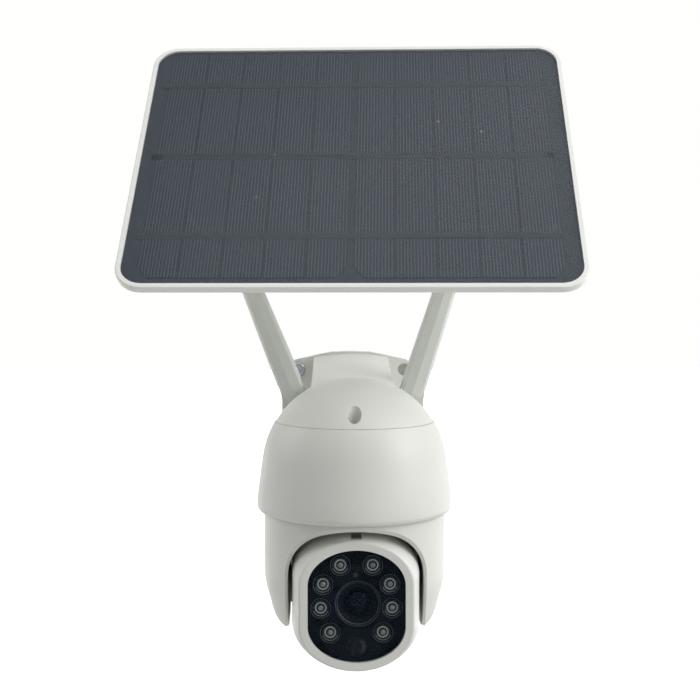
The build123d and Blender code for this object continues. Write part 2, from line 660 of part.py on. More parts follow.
def lens_glass():
    ball_r = 7.6
    front = Pos(0, -35.0, 0) * Sphere(ball_r) & cyl_y(5.35, -45, -36.0)
    return in_head(Pos(LENS_X, 0, LENS_Z) * (front + cyl_y(5.35, -36.0, -33.0)))


def light_sensor():
    body = cyl_y(LIGHT_SENSOR_R - 0.1, MASK_Y + 0.2, LED_BOARD_Y,
                 LIGHT_SENSOR_X, LIGHT_SENSOR_Z)
    return in_head(body)


def pir_lens():
    dome = Pos(0, LED_BOARD_Y + 1.0, PIR_Z) * Sphere(5.0)
    dome = dome & block(-9, 9, MASK_Y + 0.3, LED_BOARD_Y, -40, 0)
    rim = cyl_y(PIR_R - 0.1, LED_BOARD_Y - 1.6, LED_BOARD_Y, 0, PIR_Z)
    return in_head(dome + rim)


def mic_mesh():
    return in_head(block(-2.5, 2.5, -43.3, -31.1, HEAD_R - 3.3, HEAD_R - 2.9))


def sensor_board():
    board = block(-17, 17, -21.0, -19.4, -17, 17) + block(-7, 7, -19.4, -17.6, -7, 7)
    return in_head(board)


def across(solid_along_z, y=0.0, z=0.0):
    """Turns a solid drawn along +Z to lie along +X, its x to +Y and its y to +Z."""
    return Pos(0, y, z) * (Plane.YZ.location * solid_along_z)


def tilt_gear():
    return in_head(across(gear(TILT_TEETH, TILT_GEAR_X[0], TILT_GEAR_X[1], 6.92)))


def tilt_pinion():
    wheel = gear(TILT_PINION_TEETH, TILT_GEAR_X[0], TILT_GEAR_X[1], 1.25 + FIT, -9)
    return in_head(across(wheel, TILT_MOTOR_AT, TILT_MOTOR_AT))


def tilt_motor():
    body = cyl_x(9.6, -21.8, -8.0, TILT_MOTOR_AT, TILT_MOTOR_AT)
    body += cyl_x(1.25, -26.0, -21.8, TILT_MOTOR_AT, TILT_MOTOR_AT)
    return in_head(body)


def speaker():
    body = cyl_y(10, 22.5, 27.0, 0, -4) + cyl_y(6, 19.0, 22.5, 0, -4)
    return in_head(body)


# ---------------------------------------------------------------- antennas
def antenna_frame(side):
    sign = -1 if side == "left" else 1
    return Pos(sign * ANTENNA_X, ANTENNA_BACK - WALL_TO_AXIS, ANTENNA_Z)


def antenna_base(side):
    """Round foot with a tongue that the antenna hinges on."""
    base = cyl(KNUCKLE_R, 3.4 - ANTENNA_Z, -KNUCKLE_R - 0.4)
    tongue = cyl_y(KNUCKLE_R - 0.2, -2.6, 2.6) + block(-KNUCKLE_R + 0.2, KNUCKLE_R - 0.2, -2.6, 2.6,
                                                       -KNUCKLE_R - 0.5, 0)
    tongue -= cyl_y(2.0, -9, 9)
    return antenna_frame(side) * (base + (tongue & cyl(KNUCKLE_R, -20, 20)))


def antenna_section(z, width, depth):
    """Flat rod with a lengthwise ridge front and back and rounded edges."""
    half, front = width / 2, depth / 2
    shoulder = min(1.6, 0.4 * front)
    quarter = [(half, 0.34 * front), (half - shoulder, 0.84 * front)]
    corners = quarter + [(0.0, front)] + [(-x, y) for x, y in reversed(quarter)]
    corners += [(-x, -y) for x, y in quarter] + [(0.0, -front)]
    corners += [(x, -y) for x, y in reversed(quarter)]
    outline = make_face(Polyline(*corners, close=True))
    edges = outline.vertices().filter_by(lambda v: abs(v.X) > half - 1.8)
    return Plane.XY.offset(z) * fillet(edges, 0.2 + 0.1 * front)


def antenna(side):
    """Tapered rod with a fork at its foot, drawn upright and then leaned outwards."""
    fork = cyl_y(KNUCKLE_R, -4.8, 4.8)
    tip_w = ANTENNA_TIP_W[side]
    rod = loft([antenna_section(-5.6, 8.4, 9.8),
                antenna_section(0.5, ANTENNA_FOOT_W, 13.2),
                antenna_section(22, ANTENNA_FOOT_W - 0.6, 12.0),
                antenna_section(ANTENNA_LENGTH - 7.2, tip_w, 8.0),
                antenna_section(ANTENNA_LENGTH - 6, tip_w - 2.2, 5.8)], ruled=True)
    body = fork + rod
    body -= block(-20, 20, -2.8, 2.8, -20, KNUCKLE_R + 0.4)
    body -= cyl_y(2.0 + FIT, -4.7, 9)
    lean = ANTENNA_LEAN[side]
    return antenna_frame(side) * Rot(0, lean, 0) * body


def antenna_pin(side):
    return antenna_frame(side) * cyl_y(2.0, -4.6, 6.0)


# ---------------------------------------------------------------- panel and its joint
def panel_place():
    """Panel frame: origin on the face's centre, x to the right, y up the panel, z outwards."""
    yaw, tilt = radians(PANEL_YAW), radians(PANEL_TILT)
    x_dir = (cos(yaw), sin(yaw), 0)
    normal = (sin(yaw) * sin(tilt), -cos(yaw) * sin(tilt), cos(tilt))
    centre = tuple(p + PIVOT_DEPTH * n for p, n in zip(PANEL_PIVOT, normal))
    return Plane(origin=centre, x_dir=x_dir, z_dir=normal).location


def on_panel(shape):
    return panel_place() * shape


def panel_block(inset, corner, z0, z1):
    return prism(RectangleRounded(PANEL_W - 2 * inset, PANEL_H - 2 * inset, corner), z0, z1)


def panel_frame():
    body = panel_block(0, PANEL_CORNER, -PANEL_T, 0)
    back_edges = body.faces().sort_by(Axis.Z)[0].edges()
    body = chamfer(back_edges, PANEL_T - PANEL_SIDE, 4.6)
    body = fillet(body.faces().sort_by(Axis.Z)[-1].edges(), 0.7)
    body -= panel_block(PANEL_RIM, PANEL_CORNER - PANEL_RIM, BOARD_Z - BOARD_T, 1)
    body -= panel_block(PANEL_LEDGE, PANEL_CORNER - 5, -PANEL_T - 1, 1)
    body -= panel_block(5.4, PANEL_CORNER - 4.5, -PANEL_T - 1, -PANEL_T + BACK_COVER_T)
    return on_panel(body)


def panel_film():
    return on_panel(panel_block(PANEL_RIM + 0.05, PANEL_CORNER - PANEL_RIM - 0.05, BUS_Z, FILM_Z))


def cell_board():
    board = panel_block(PANEL_RIM + 0.1, PANEL_CORNER - PANEL_RIM - 0.1, BOARD_Z - BOARD_T, BOARD_Z)
    return on_panel(board)


def solar_cells():
    """Two groups of five cut cells, each group with clipped corners."""
    pitch = CELL_GROUP_W / STRIPS
    low, high = CELL_BAND_Y
    cut_x, cut_y = CELL_CUT
    cells = []
    for left in CELL_GROUP_X:
        right = left + CELL_GROUP_W
        group = make_face(Polyline((left + cut_x, low), (right - cut_x, low), (right, low + cut_y),
                                   (right, high - cut_y), (right - cut_x, high), (left + cut_x, high),
                                   (left, high - cut_y), (left, low + cut_y), close=True))
        group = prism(group, BOARD_Z, CELL_Z)
        for i in range(STRIPS):
            x0 = left + i * pitch + STRIP_GAP / 2
            strip = block(x0, x0 + pitch - STRIP_GAP, low - 1, high + 1, BOARD_Z - 1, CELL_Z + 1)
            cells.append(on_panel(group & strip))
    return cells


def bus_ribbons():
    left, right = CELL_GROUP_X[0] - 2.2, CELL_GROUP_X[1] + CELL_GROUP_W
    return [on_panel(block(left, right, y - BUS_W / 2, y + BUS_W / 2, CELL_Z, BUS_Z)) for y in BUS_Y]


def panel_back_cover():
    z0 = -PANEL_T
    cover = panel_block(5.5, PANEL_CORNER - 4.6, z0, z0 + BACK_COVER_T)
    for x in (-70, 0, 70):
        for y in (-60, 60):
            cover += block(x - 24, x + 24, y - 0.8, y + 0.8, z0 + BACK_COVER_T, BOARD_Z - BOARD_T - 0.1)
    for x, y in BACK_SCREWS:
        cover += cyl(3.2, z0 + BACK_COVER_T, BOARD_Z - BOARD_T - 0.1, x, y)
        cover -= cyl(1.5, z0 - 1, 0, x, y)
    return on_panel(cover)


def panel_back_screws():
    one = Rot(180, 0, 0) * screw(2.6, 1.5, 1.4, 3.9)
    return [on_panel(Pos(x, y, -PANEL_T) * one) for x, y in BACK_SCREWS]


def panel_lug():
    """Foot plate and centre lug that the tilt bolt passes through."""
    foot = prism(RectangleRounded(52, 40, 6), -PANEL_T - 3, -PANEL_T)
    lug = cyl_x(8.0, -LUG_W, LUG_W, 0, -PIVOT_DEPTH)
    lug += block(-LUG_W, LUG_W, -8.0, 8.0, -PIVOT_DEPTH, -PANEL_T - 1)
    lug -= cyl_x(BOLT_R + FIT, -30, 30, 0, -PIVOT_DEPTH)
    return on_panel(foot + lug)


def cable_gland():
    box = prism(RectangleRounded(38, 24, 3), -PANEL_T - 8, -PANEL_T)
    box = fillet(box.faces().sort_by(Axis.Z)[0].edges(), 1.5)
    nose = cyl_y(4.2, -20, -12, 0, -PANEL_T - 4.2) - cyl_y(2.0, -30, -14, 0, -PANEL_T - 4.2)
    return on_panel(Pos(58, -34, 0) * (box + nose))


def at_pivot(shape):
    return Pos(*PANEL_PIVOT) * Rot(0, 0, PANEL_YAW) * shape


def panel_swivel():
    """U bracket that turns on the tongue and holds the lug between its ears."""
    z0, z1 = SWIVEL_Z
    base = block(-EAR_X[1], EAR_X[1], -11, 11, z0, z1) - cyl(BOLT_R, z0 - 1, z1 + 1)
    swivel = base
    for side in (-1, 1):
        ear = cyl_x(8.5, EAR_X[0], EAR_X[1]) + block(EAR_X[0], EAR_X[1], -8.5, 8.5, z0, 0)
        swivel += ear if side > 0 else mirror(ear, Plane.YZ)
    swivel -= cyl_x(BOLT_R, -30, 30)
    return at_pivot(swivel)


def swivel_bolt():
    z0 = SWIVEL_Z[0]
    bolt = cyl(BOLT_R, z0 - SUPPORT_T - 7.8, SWIVEL_Z[1]) + prism(RegularPolygon(5.0, 6), SWIVEL_Z[1],
                                                                SWIVEL_Z[1] + 3.0)
    return at_pivot(bolt)


def knob():
    """Six-lobed hand knob along +Z with a blind bore, its seat at z = 0."""
    body = cyl(KNOB_R, 0, 9.0)
    for i in range(6):
        a = radians(60 * i)
        body -= cyl(3.4, 2.0, 10, 11.6 * cos(a), 11.6 * sin(a))
    return body - cyl(BOLT_R + FIT, -1, 7.6)


def swivel_knob():
    z = SWIVEL_Z[0] - 0.2 - SUPPORT_T - 0.3
    return at_pivot(Pos(0, 0, z) * Rot(180, 0, 0) * knob())


def tilt_bolt():
    bolt = cyl_x(BOLT_R, -EAR_X[1], EAR_X[1] + 7.0)
    head = Pos(-EAR_X[1], 0, 0) * Rot(0, -90, 0) * prism(RegularPolygon(5.0, 6), 0, 3.4)
    return at_pivot(bolt + head)


def tilt_knob():
    return at_pivot(Pos(EAR_X[1] + 0.3, 0, 0) * Rot(0, 90, 0) * knob())


# ---------------------------------------------------------------- output
PARTS = {
    "top_cover": top_cover, "wall_arm": wall_arm, "panel_support": panel_support, "bracket_screw": bracket_screw,
    "cover_screws": cover_screws, "main_housing": main_housing, "housing_seal": housing_seal,
    "chassis_plate": chassis_plate, "chassis_screws": chassis_screws, "pan_bearing": pan_bearing,
    "pan_motor": pan_motor, "pan_pinion": pan_pinion, "battery_cells": battery_cells,
    "battery_tray": battery_tray, "main_board": main_board, "charge_port": charge_port,
    "port_cover": port_cover, "reset_button": reset_button, "pan_yoke": pan_yoke,
    "arm_covers": arm_covers, "tilt_stubs": tilt_stubs, "pan_hub": pan_hub, "hub_nut": hub_nut,
    "pan_gear": pan_gear, "head_front_shell": head_front_shell, "head_rear_shell": head_rear_shell,
    "head_screws": head_screws, "front_window": front_window, "window_mask": window_mask,
    "window_gasket": window_gasket, "led_board": led_board, "led_lamps": led_lamps,
    "lens_barrel": lens_barrel, "lens_glass": lens_glass,
    "light_sensor": light_sensor, "pir_lens": pir_lens, "mic_mesh": mic_mesh,
    "sensor_board": sensor_board, "tilt_gear": tilt_gear, "tilt_pinion": tilt_pinion,
    "tilt_motor": tilt_motor, "speaker": speaker,
    "antenna_bases": lambda: [antenna_base("left"), antenna_base("right")],
    "antenna_left": lambda: antenna("left"), "antenna_right": lambda: antenna("right"),
    "antenna_pins": lambda: [antenna_pin("left"), antenna_pin("right")],
    "panel_frame": panel_frame, "panel_film": panel_film, "cell_board": cell_board,
    "solar_cells": solar_cells, "bus_ribbons": bus_ribbons, "panel_back_cover": panel_back_cover,
    "panel_back_screws": panel_back_screws, "panel_lug": panel_lug, "cable_gland": cable_gland,
    "panel_swivel": panel_swivel, "swivel_bolt": swivel_bolt, "swivel_knob": swivel_knob,
    "tilt_bolt": tilt_bolt, "tilt_knob": tilt_knob,
}


def solids_of(made):
    if isinstance(made, list):
        return Compound(children=[solid for piece in made for solid in piece.solids()])
    solids = made.solids()
    return solids[0] if len(solids) == 1 else Compound(children=list(solids))


os.makedirs("parts", exist_ok=True)
for name, make in PARTS.items():
    export_step(solids_of(make()), f"parts/{name}.step")
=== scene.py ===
import json
from math import cos, pi, radians, sin

import bmesh
import bpy
from mathutils import Matrix, Vector


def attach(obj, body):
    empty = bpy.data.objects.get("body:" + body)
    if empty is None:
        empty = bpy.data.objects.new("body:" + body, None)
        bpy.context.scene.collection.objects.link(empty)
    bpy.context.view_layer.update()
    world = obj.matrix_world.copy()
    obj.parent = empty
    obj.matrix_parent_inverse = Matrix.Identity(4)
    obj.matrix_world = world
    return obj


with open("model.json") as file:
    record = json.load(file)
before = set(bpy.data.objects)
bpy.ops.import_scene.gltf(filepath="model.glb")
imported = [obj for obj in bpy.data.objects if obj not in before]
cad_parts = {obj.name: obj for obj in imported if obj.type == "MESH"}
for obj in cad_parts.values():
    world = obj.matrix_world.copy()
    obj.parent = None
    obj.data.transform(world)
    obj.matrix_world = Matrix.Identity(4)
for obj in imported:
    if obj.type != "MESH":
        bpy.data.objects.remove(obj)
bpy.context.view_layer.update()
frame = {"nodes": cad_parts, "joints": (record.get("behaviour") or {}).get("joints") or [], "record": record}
NODES = frame["nodes"]
JOINTS = {j["name"]: j for j in frame["joints"]}
MM = 0.001
TILT_AT = [c / MM for c in JOINTS["tilt"]["pos_m"]]   # tilt axis, in mm

# camera, in mm on row axes
CAMERA_AT = (-14.3, -667.2, 64.7)
CAMERA_LOOK = (0.0209, 0.9989, -0.0419)
CAMERA_RIGHT = (0.9998, -0.0209, 0.0)
LENS_LENGTH, SENSOR_WIDTH = 55.29, 36.0

# lamps, in metres and watts: name, place, width and height, power
SUBJECT = (0, -0.09, 0)
STUDIO_LAMPS = [("key", (1.10, -0.60, 0.60), (0.7, 0.9), 8.9),
                ("fill", (-0.7, -1.0, 0.5), (0.8, 0.8), 0.3),
                ("top", (0.1, -0.5, 1.3), (1.0, 0.8), 3.1),
                ("side", (-1.2, 0.05, 0.55), (0.6, 0.6), 3.0)]
# the backdrop lamp hangs over the far floor, points straight down and has a narrow spread
BACKDROP_AT = (0, 10.2, 1.0)
BACKDROP_SIZE = (32, 17.1)
BACKDROP_POWER, BACKDROP_SPREAD = 2900, 50

# sky strength, from the dark side in front on the left to the bright side behind on the right
SKY_BRIGHT_WAY = (0.62, 0.76, 0.1)
SKY_RANGE = (-0.60, 0.5)
SKY_STRENGTH = (0.24, 1.0)

FLOOR_HALF, FLOOR_Z = 15.4, -0.90

# solar panel, in metres: the cells' layer is parallel to the tilt axis
PANEL_LEAN = 52.13             # degrees between the panel's normal and straight up
PANEL_LAYER = 0.022            # tilt axis to the layer that the pattern is centred on
CELL_PITCH = 0.02112
GROUP_START = -0.1069          # left edge of the left group of five cells
GROUP_STEP = 0.1078            # left group to right group
FINGER_HALF_PITCH = 0.00083
FINGER_OFFSET = 0.00060

# camera head: lamps and sensors are placed from the tilt axis
SEAM_Y = TILT_AT[1]            # joint of the two head shells, in mm
LAMP_CAP_Y = (TILT_AT[1] - 42.8) * MM      # where a lamp's clear cap starts
LAMP_CAP_FADE = 0.0006
PIR_Z = (TILT_AT[2] - 20.7) * MM           # centre of the motion sensor
LAMP_FRONT = -42.2             # back of a lamp's cup, in mm before the axis
LENS_AT = (0.7, -43.2, 0.9)    # front of the lens barrel, in mm from the axis
# lamp places from the tilt axis, in mm, across and up
LED_PLACES = [(s * x, z) for s in (-1, 1)
              for x, z in ((8.05, 20.2), (16.65, 10.7), (17.8, -1.2), (13.1, -13.5))]


# ---------------------------------------------------------------- camera and light
def make_camera():
    data = bpy.data.cameras.new("camera")
    data.lens = LENS_LENGTH
    data.sensor_width = SENSOR_WIDTH
    data.clip_start = 0.01
    cam = bpy.data.objects.new("camera", data)
    bpy.context.scene.collection.objects.link(cam)
    forward = Vector(CAMERA_LOOK).normalized()
    right = Vector(CAMERA_RIGHT).normalized()
    up = right.cross(forward).normalized()
    turn = Matrix((right, up, -forward)).transposed().to_4x4()
    cam.matrix_world = Matrix.Translation(Vector(CAMERA_AT) * MM) @ turn
    bpy.context.scene.camera = cam
    bpy.context.scene.view_settings.view_transform = "Standard"


def area_light(name, place, aim, size, power, spread=180):
    data = bpy.data.lights.new(name, "AREA")
    data.shape = "RECTANGLE"
    data.size, data.size_y = size
    data.energy = power
    data.spread = radians(spread)
    lamp = bpy.data.objects.new(name, data)
    bpy.context.scene.collection.objects.link(lamp)
    lamp.location = place
    lamp.rotation_euler = (Vector(aim) - Vector(place)).to_track_quat("-Z", "Y").to_euler()


def make_lamps():
    for name, place, size, power in STUDIO_LAMPS:
        area_light(name, place, SUBJECT, size, power)
    below = (*BACKDROP_AT[:2], 0)
    area_light("backdrop", BACKDROP_AT, below, BACKDROP_SIZE, BACKDROP_POWER, BACKDROP_SPREAD)


def make_world():
    """A plain sky whose strength rises smoothly towards one side."""
    world = bpy.data.worlds.new("studio")
    bpy.context.scene.world = world
    world.use_nodes = True
    tree = world.node_tree
    back = tree.nodes["Background"]
    coords = tree.nodes.new("ShaderNodeTexCoord")
    dot = tree.nodes.new("ShaderNodeVectorMath")
    dot.operation = "DOT_PRODUCT"
    dot.inputs[1].default_value = Vector(SKY_BRIGHT_WAY).normalized()
    ramp = tree.nodes.new("ShaderNodeMapRange")
    ramp.inputs["From Min"].default_value, ramp.inputs["From Max"].default_value = SKY_RANGE
    ramp.inputs["To Min"].default_value, ramp.inputs["To Max"].default_value = SKY_STRENGTH
    tree.links.new(coords.outputs["Generated"], dot.inputs[0])
    tree.links.new(dot.outputs["Value"], ramp.inputs["Value"])
    tree.links.new(ramp.outputs["Result"], back.inputs["Strength"])
    back.inputs["Color"].default_value = (1.0, 1.0, 0.99, 1)


def make_stage():
    corners = [(x * FLOOR_HALF, y * FLOOR_HALF, FLOOR_Z)
               for x, y in ((-1, -1), (1, -1), (1, 1), (-1, 1))]
    mesh = bpy.data.meshes.new("floor")
    mesh.from_pydata(corners, [], [(0, 1, 2, 3)])
    floor = bpy.data.objects.new("floor", mesh)
    bpy.context.scene.collection.objects.link(floor)
    floor.data.materials.append(Look("floor_paint", (0.70, 0.70, 0.69), 0.6).mottle(3, 0.01).done)


# ---------------------------------------------------------------- materials
class Look:
    """A Principled material built up from procedural layers, in object coordinates in metres."""

    def __init__(self, name, colour, rough, metallic=0.0, **sockets):
        self.done = bpy.data.materials.new(name)
        self.done.use_nodes = True
        self.done.diffuse_color = (*colour, 1)
        self.tree = self.done.node_tree
        self.bsdf = self.tree.nodes["Principled BSDF"]
        self.bsdf.inputs["Base Color"].default_value = (*colour, 1)
        self.bsdf.inputs["Roughness"].default_value = rough
        self.bsdf.inputs["Metallic"].default_value = metallic
        for key, value in sockets.items():
            self.bsdf.inputs[key.replace("_", " ")].default_value = value
        self.coords = self.new("ShaderNodeTexCoord").outputs["Object"]
        self.normal = None

    def new(self, kind, **settings):
        node = self.tree.nodes.new(kind)
        for key, value in settings.items():
            setattr(node, key, value)
        return node

    def link(self, a, b):
        self.tree.links.new(a, b)

    def noise(self, per_m, detail=3.0, stretch=(1, 1, 1), vector=None):
        node = self.new("ShaderNodeTexNoise")
        node.inputs["Scale"].default_value = per_m
        node.inputs["Detail"].default_value = detail
        source = vector or self.coords
        if stretch != (1, 1, 1):
            mapping = self.new("ShaderNodeMapping")
            mapping.inputs["Scale"].default_value = stretch
            self.link(source, mapping.inputs["Vector"])
            source = mapping.outputs["Vector"]
        self.link(source, node.inputs["Vector"])
        return node.outputs["Fac"]

    def remap(self, value, low, high, to_low, to_high):
        node = self.new("ShaderNodeMapRange")
        node.inputs["From Min"].default_value = low
        node.inputs["From Max"].default_value = high
        node.inputs["To Min"].default_value = to_low
        node.inputs["To Max"].default_value = to_high
        self.link(value, node.inputs["Value"])
        return node.outputs["Result"]

    def math(self, operation, a, b=None, c=None):
        node = self.new("ShaderNodeMath", operation=operation)
        for i, value in enumerate((a, b, c)):
            if value is None:
                continue
            if isinstance(value, (int, float)):
                node.inputs[i].default_value = value
            else:
                self.link(value, node.inputs[i])
        return node.outputs[0]

    def base(self):
        socket = self.bsdf.inputs["Base Color"]
        if socket.is_linked:
            return socket.links[0].from_socket
        return None

    def tint(self, fac, colour):
        """Blends a colour over the base colour by fac."""
        node = self.new("ShaderNodeMix", data_type="RGBA", blend_type="MIX")
        before = self.base()
        if before is None:
            node.inputs[6].default_value = self.bsdf.inputs["Base Color"].default_value
        else:
            self.link(before, node.inputs[6])
        node.inputs[7].default_value = (*colour, 1)
        self.link(fac, node.inputs[0])
        self.link(node.outputs[2], self.bsdf.inputs["Base Color"])
        return self

    def mottle(self, per_m, amount, detail=2.0, stretch=(1, 1, 1)):
        """Slow colour variation, darker and lighter by amount."""
        colour = self.bsdf.inputs["Base Color"].default_value
        darker = [max(c * (1 - amount), 0) for c in colour[:3]]
        fac = self.remap(self.noise(per_m, detail, stretch), 0.3, 0.7, 0, 1)
        return self.tint(fac, darker)

    def gloss_noise(self, per_m, spread, stretch=(1, 1, 1)):
        rough = self.bsdf.inputs["Roughness"].default_value
        value = self.remap(self.noise(per_m, 3, stretch), 0.3, 0.7, rough - spread, rough + spread)
        self.link(value, self.bsdf.inputs["Roughness"])
        return self

    def bump(self, height, distance_mm):
        node = self.new("ShaderNodeBump")
        node.inputs["Strength"].default_value = 1.0
        node.inputs["Distance"].default_value = distance_mm * MM
        self.link(height, node.inputs["Height"])
        if self.normal is not None:
            self.link(self.normal, node.inputs["Normal"])
        self.normal = node.outputs["Normal"]
        self.link(self.normal, self.bsdf.inputs["Normal"])
        return self

    def grain(self, size_mm, depth_mm, stretch=(1, 1, 1)):
        return self.bump(self.noise(1000 / size_mm, 2.0, stretch), depth_mm)

    def soft_edges(self, radius_mm):
        node = self.new("ShaderNodeBevel", samples=4)
        node.inputs["Radius"].default_value = radius_mm * MM
        self.normal = node.outputs["Normal"]
        self.link(self.normal, self.bsdf.inputs["Normal"])
        return self

    def line_at(self, axis, place_mm, half_mm):
        """1 within half_mm of a plane across a row axis."""
        split = self.new("ShaderNodeSeparateXYZ")
        self.link(self.coords, split.inputs[0])
        away = self.math("ABSOLUTE", self.math("SUBTRACT", split.outputs[axis], place_mm * MM))
        return self.math("LESS_THAN", away, half_mm * MM)


def moulded(name, colour, rough=0.42, edge=0.25):
    look = Look(name, colour, rough, Specular_IOR_Level=0.5)
    look.soft_edges(edge)
    look.mottle(22, 0.035)
    look.gloss_noise(55, 0.05)
    return look.grain(0.45, 0.012)


def metal(name, colour, rough, stretch=(1, 1, 1)):
    look = Look(name, colour, rough, 1.0)
    look.soft_edges(0.12)
    look.mottle(140, 0.12)
    look.gloss_noise(220, 0.07, stretch)
    return look.grain(0.2, 0.006, stretch)


def head_look():
    look = moulded("head_plastic", (0.745, 0.755, 0.715), 0.40)
    seam = look.line_at(1, SEAM_Y, 0.14)
    look.tint(seam, (0.10, 0.10, 0.09))
    return look.done


def powder_coat_look():
    look = Look("powder_coat", (0.74, 0.75, 0.72), 0.5)
    look.soft_edges(0.4)
    look.mottle(40, 0.03)
    look.grain(0.9, 0.035)
    return look.done


def dark_look():
    look = moulded("dark_plastic", (0.006, 0.010, 0.016), 0.55, 0.15)
    look.bsdf.inputs["Specular IOR Level"].default_value = 0.12
    return look.done


def knob_look():
    look = moulded("knob_plastic", (0.018, 0.018, 0.020), 0.6, 0.4)
    look.grain(0.7, 0.05)
    return look.done


def rubber_look():
    look = Look("soft_rubber", (0.020, 0.020, 0.020), 0.75)
    look.soft_edges(0.3)
    look.mottle(90, 0.25)
    look.grain(0.35, 0.02)
    return look.done


def battery_wrap_look():
    look = Look("cell_wrap", (0.02, 0.10, 0.30), 0.3, Coat_Weight=0.3)
    look.mottle(160, 0.15)
    look.grain(2.0, 0.05)
    return look.done


def circuit_look():
    look = Look("board_lacquer", (0.01, 0.09, 0.035), 0.32, Coat_Weight=0.4)
    traces = look.noise(420, 0, (1, 6, 6))
    look.tint(look.remap(traces, 0.52, 0.55, 0, 1), (0.03, 0.17, 0.07))
    look.bump(traces, 0.02)
    return look.done


def sensor_look():
    look = Look("sensor_clear", (0.075, 0.082, 0.088), 0.2)
    look.mottle(1500, 0.5)
    look.grain(0.4, 0.01)
    return look.done


def window_look():
    look = Look("window_tint", (0.012, 0.026, 0.042), 0.05, Specular_IOR_Level=0.08, Alpha=0.14)
    look.gloss_noise(30, 0.01)
    look.mottle(60, 0.1)
    return look.done


def panel_axes(look):
    """Object coordinates turned into the panel's own: x across, y up the panel, z outwards."""
    joint = JOINTS["panel_tilt"]
    across = Vector(joint["axis"]).normalized()
    lean = radians(PANEL_LEAN)
    flat_out = Vector((across.y, -across.x, 0))
    normal = flat_out * sin(lean) + Vector((0, 0, 1)) * cos(lean)
    up = normal.cross(across)
    centre = Vector(joint["pos_m"]) + normal * PANEL_LAYER
    turn = Matrix((across, up, normal)).transposed()
    mapping = look.new("ShaderNodeMapping", vector_type="TEXTURE")
    mapping.inputs["Location"].default_value = centre
    mapping.inputs["Rotation"].default_value = turn.to_euler("XYZ")
    look.link(look.coords, mapping.inputs["Vector"])
    split = look.new("ShaderNodeSeparateXYZ")
    look.link(mapping.outputs["Vector"], split.inputs[0])
    return mapping.outputs["Vector"], split.outputs


def cell_look():
    look = Look("silicon", (0.011, 0.017, 0.026), 0.35, Specular_IOR_Level=0.4)
    place, axes = panel_axes(look)
    x = axes[0]
    cloud = look.noise(14, 2, (1, 1, 1), place)
    look.tint(look.remap(cloud, 0.35, 0.7, 0, 1), (0.016, 0.023, 0.032))
    # one tone per cut cell, two groups of five
    group = look.math("GREATER_THAN", x, 0.0)
    start = look.math("MULTIPLY_ADD", group, GROUP_STEP, GROUP_START)
    inside = look.math("SUBTRACT", x, start)
    strip = look.math("FLOOR", look.math("DIVIDE", inside, CELL_PITCH))
    seed = look.math("MULTIPLY_ADD", group, 5.3, strip)
    tone = look.new("ShaderNodeTexWhiteNoise", noise_dimensions="1D")
    look.link(seed, tone.inputs["W"])
    look.tint(look.math("MULTIPLY", tone.outputs["Value"], 0.35), (0.008, 0.012, 0.021))
    # twelve printed fingers per cell, parallel to the panel's upright sides
    in_cell = look.math("FLOORED_MODULO", inside, CELL_PITCH)
    along = look.math("SUBTRACT", in_cell, FINGER_OFFSET)
    to_gap = look.math("PINGPONG", along, FINGER_HALF_PITCH)
    away = look.math("SUBTRACT", FINGER_HALF_PITCH, to_gap)
    line = look.remap(away, 0.00014, 0.00040, 1, 0)
    look.tint(look.math("MULTIPLY", line, 0.85), (0.092, 0.106, 0.126))
    look.bump(line, 0.01)
    return look.done


def ribbon_look():
    look = Look("ribbon", (0.034, 0.046, 0.056), 0.40)
    look.mottle(200, 0.2)
    look.grain(1.5, 0.01, (0.2, 1, 1))
    return look.done


def film_look():
    look = Look("film", (0.09, 0.125, 0.165), 0.24, Specular_IOR_Level=0.45, Alpha=0.14)
    place, _ = panel_axes(look)
    specks = look.new("ShaderNodeTexVoronoi")
    specks.inputs["Scale"].default_value = 42
    look.link(place, specks.inputs["Vector"])
    mark = look.remap(specks.outputs["Distance"], 0.022, 0.045, 1, 0)
    look.tint(mark, (0.8, 0.8, 0.8))
    look.gloss_noise(24, 0.05)
    look.grain(1.2, 0.006)
    return look.done


def board_look():
    look = Look("cell_board", (0.030, 0.038, 0.048), 0.5)
    look.mottle(70, 0.2)
    look.grain(0.8, 0.01)
    return look.done


def lamp_look():
    look = Look("lamp_epoxy", (0.020, 0.022, 0.026), 0.14, Coat_Weight=0.3)
    split = look.new("ShaderNodeSeparateXYZ")
    look.link(look.coords, split.inputs[0])
    cap = look.remap(split.outputs[1], LAMP_CAP_Y, LAMP_CAP_Y - LAMP_CAP_FADE, 0, 1)
    look.tint(cap, (0.34, 0.36, 0.36))
    look.tint(look.remap(look.noise(900), 0.4, 0.7, 0, 0.35), (0.05, 0.05, 0.055))
    look.grain(0.6, 0.01)
    return look.done


def optic_look():
    look = Look("coated_glass", (0.007, 0.011, 0.019), 0.05, Specular_IOR_Level=0.08)
    # painted reflection: a purple tint towards grazing angles stands in for the coating's tinted reflection
    edge = look.new("ShaderNodeLayerWeight")
    edge.inputs["Blend"].default_value = 0.35
    look.tint(edge.outputs["Facing"], (0.010, 0.008, 0.030))
    look.mottle(500, 0.1)
    return look.done


